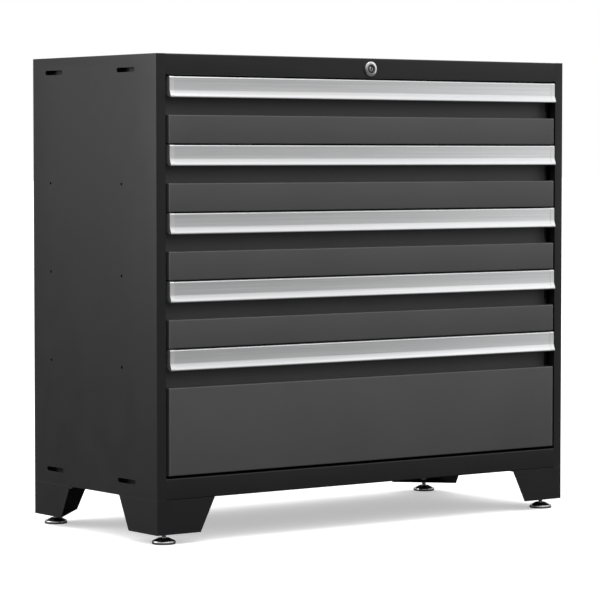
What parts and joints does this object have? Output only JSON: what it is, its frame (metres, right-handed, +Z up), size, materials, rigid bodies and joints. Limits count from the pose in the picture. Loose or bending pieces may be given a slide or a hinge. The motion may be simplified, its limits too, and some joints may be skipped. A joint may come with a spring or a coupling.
{
  "type": "tool chest",
  "caption": "Low, wide steel tool chest on levelling feet, with full-width drawers on ball-bearing slides, aluminium pull handles and a central lock.",
  "frame": {"origin": "on the floor, under the middle of the chest's overall box", "axes": "+X to the right seen from the front, +Y from front to back, +Z up"},
  "size_m": [0.914, 0.406, 0.835],
  "materials": {
    "black_powder_coat": "satin black powder coat on sheet steel",
    "grey_powder_coat": "satin dark grey powder coat on sheet steel",
    "satin_aluminium": "satin anodised extrusion, brushed along its length",
    "zinc_plated_steel": "bright zinc plate",
    "chrome_plate": "polished chrome plate",
    "dark_lock_steel": "dark nickel plate"
  },
  "bodies": {
    "cabinet": {"left_side_panel": "black_powder_coat", "right_side_panel": "black_powder_coat", "back_panel": "black_powder_coat", "top_panel": "black_powder_coat", "bottom_panel": "black_powder_coat", "top_front_rail": "black_powder_coat", "bottom_front_rail": "black_powder_coat", "slide_posts": "black_powder_coat", "leg_front_left": "black_powder_coat", "leg_front_right": "black_powder_coat", "leg_rear_left": "black_powder_coat", "leg_rear_right": "black_powder_coat", "slide_outer_members": "zinc_plated_steel", "leg_screws": "zinc_plated_steel", "leg_nuts": "zinc_plated_steel", "lock_nut": "zinc_plated_steel", "lock_brackets": "zinc_plated_steel", "lock_barrel": "chrome_plate"},
    "drawer_1": {"drawer_1_front": "grey_powder_coat", "drawer_1_box": "grey_powder_coat", "drawer_1_handle": "satin_aluminium", "drawer_1_screws": "zinc_plated_steel", "drawer_1_inner_members": "zinc_plated_steel"},
    "drawer_1_slide": {"drawer_1_middle_members": "zinc_plated_steel"},
    "drawer_2": {"drawer_2_front": "grey_powder_coat", "drawer_2_box": "grey_powder_coat", "drawer_2_handle": "satin_aluminium", "drawer_2_screws": "zinc_plated_steel", "drawer_2_inner_members": "zinc_plated_steel"},
    "drawer_2_slide": {"drawer_2_middle_members": "zinc_plated_steel"},
    "drawer_3": {"drawer_3_front": "grey_powder_coat", "drawer_3_box": "grey_powder_coat", "drawer_3_handle": "satin_aluminium", "drawer_3_screws": "zinc_plated_steel", "drawer_3_inner_members": "zinc_plated_steel"},
    "drawer_3_slide": {"drawer_3_middle_members": "zinc_plated_steel"},
    "drawer_4": {"drawer_4_front": "grey_powder_coat", "drawer_4_box": "grey_powder_coat", "drawer_4_handle": "satin_aluminium", "drawer_4_screws": "zinc_plated_steel", "drawer_4_inner_members": "zinc_plated_steel"},
    "drawer_4_slide": {"drawer_4_middle_members": "zinc_plated_steel"},
    "drawer_5": {"drawer_5_front": "grey_powder_coat", "drawer_5_box": "grey_powder_coat", "drawer_5_handle": "satin_aluminium", "drawer_5_screws": "zinc_plated_steel", "drawer_5_inner_members": "zinc_plated_steel"},
    "drawer_5_slide": {"drawer_5_middle_members": "zinc_plated_steel"},
    "foot_pad_front_left": {"foot_pad_front_left": "chrome_plate"},
    "foot_stem_front_left": {"foot_stem_front_left": "chrome_plate"},
    "foot_pad_front_right": {"foot_pad_front_right": "chrome_plate"},
    "foot_stem_front_right": {"foot_stem_front_right": "chrome_plate"},
    "foot_pad_rear_left": {"foot_pad_rear_left": "chrome_plate"},
    "foot_stem_rear_left": {"foot_stem_rear_left": "chrome_plate"},
    "foot_pad_rear_right": {"foot_pad_rear_right": "chrome_plate"},
    "foot_stem_rear_right": {"foot_stem_rear_right": "chrome_plate"},
    "lock_cylinder": {"lock_plug": "dark_lock_steel", "lock_rod": "zinc_plated_steel"},
    "lock_bar": {"lock_bar": "zinc_plated_steel"}
  },
  "joints": [
    {"name": "drawer_1_open", "type": "slide", "parent": "cabinet", "child": "drawer_1", "axis": [0, -1, 0], "range_m": [0, 0.35]},
    {"name": "drawer_1_slide_extend", "type": "slide", "parent": "cabinet", "child": "drawer_1_slide", "axis": [0, -1, 0], "range_m": [0, 0.175]},
    {"name": "drawer_2_open", "type": "slide", "parent": "cabinet", "child": "drawer_2", "axis": [0, -1, 0], "range_m": [0, 0.35]},
    {"name": "drawer_2_slide_extend", "type": "slide", "parent": "cabinet", "child": "drawer_2_slide", "axis": [0, -1, 0], "range_m": [0, 0.175]},
    {"name": "drawer_3_open", "type": "slide", "parent": "cabinet", "child": "drawer_3", "axis": [0, -1, 0], "range_m": [0, 0.35]},
    {"name": "drawer_3_slide_extend", "type": "slide", "parent": "cabinet", "child": "drawer_3_slide", "axis": [0, -1, 0], "range_m": [0, 0.175]},
    {"name": "drawer_4_open", "type": "slide", "parent": "cabinet", "child": "drawer_4", "axis": [0, -1, 0], "range_m": [0, 0.35]},
    {"name": "drawer_4_slide_extend", "type": "slide", "parent": "cabinet", "child": "drawer_4_slide", "axis": [0, -1, 0], "range_m": [0, 0.175]},
    {"name": "drawer_5_open", "type": "slide", "parent": "cabinet", "child": "drawer_5", "axis": [0, -1, 0], "range_m": [0, 0.35]},
    {"name": "drawer_5_slide_extend", "type": "slide", "parent": "cabinet", "child": "drawer_5_slide", "axis": [0, -1, 0], "range_m": [0, 0.175]},
    {"name": "foot_front_left_level", "type": "slide", "parent": "cabinet", "child": "foot_pad_front_left", "axis": [0, 0, 1], "range_m": [-0.015, 0.005]},
    {"name": "foot_front_left_turn", "type": "hinge", "parent": "foot_pad_front_left", "child": "foot_stem_front_left", "pos_m": [-0.4275, -0.17, 0.02], "axis": [0, 0, 1], "range_deg": [-4330, 1450]},
    {"name": "foot_front_right_level", "type": "slide", "parent": "cabinet", "child": "foot_pad_front_right", "axis": [0, 0, 1], "range_m": [-0.015, 0.005]},
    {"name": "foot_front_right_turn", "type": "hinge", "parent": "foot_pad_front_right", "child": "foot_stem_front_right", "pos_m": [0.4275, -0.17, 0.02], "axis": [0, 0, 1], "range_deg": [-4330, 1450]},
    {"name": "foot_rear_left_level", "type": "slide", "parent": "cabinet", "child": "foot_pad_rear_left", "axis": [0, 0, 1], "range_m": [-0.015, 0.005]},
    {"name": "foot_rear_left_turn", "type": "hinge", "parent": "foot_pad_rear_left", "child": "foot_stem_rear_left", "pos_m": [-0.4275, 0.178, 0.02], "axis": [0, 0, 1], "range_deg": [-4330, 1450]},
    {"name": "foot_rear_right_level", "type": "slide", "parent": "cabinet", "child": "foot_pad_rear_right", "axis": [0, 0, 1], "range_m": [-0.015, 0.005]},
    {"name": "foot_rear_right_turn", "type": "hinge", "parent": "foot_pad_rear_right", "child": "foot_stem_rear_right", "pos_m": [0.4275, 0.178, 0.02], "axis": [0, 0, 1], "range_deg": [-4330, 1450]},
    {"name": "lock_turn", "type": "hinge", "parent": "cabinet", "child": "lock_cylinder", "pos_m": [0, -0.195, 0.816], "axis": [0, -1, 0], "range_deg": [0, 90]},
    {"name": "lock_bar_lift", "type": "slide", "parent": "cabinet", "child": "lock_bar", "axis": [0, 0, 1], "range_m": [0, 0.012]}
  ],
  "couplings": [
    {"joint": "drawer_1_slide_extend", "follows": "drawer_1_open", "ratio": 0.5},
    {"joint": "drawer_2_slide_extend", "follows": "drawer_2_open", "ratio": 0.5},
    {"joint": "drawer_3_slide_extend", "follows": "drawer_3_open", "ratio": 0.5},
    {"joint": "drawer_4_slide_extend", "follows": "drawer_4_open", "ratio": 0.5},
    {"joint": "drawer_5_slide_extend", "follows": "drawer_5_open", "ratio": 0.5},
    {"joint": "foot_front_left_turn", "follows": "foot_front_left_level", "rad_per_m": 5026.5},
    {"joint": "foot_front_right_turn", "follows": "foot_front_right_level", "rad_per_m": 5026.5},
    {"joint": "foot_rear_left_turn", "follows": "foot_rear_left_level", "rad_per_m": 5026.5},
    {"joint": "foot_rear_right_turn", "follows": "foot_rear_right_level", "rad_per_m": 5026.5},
    {"joint": "lock_turn", "follows": "lock_bar_lift", "rad_per_m": 130.89}
  ]
}
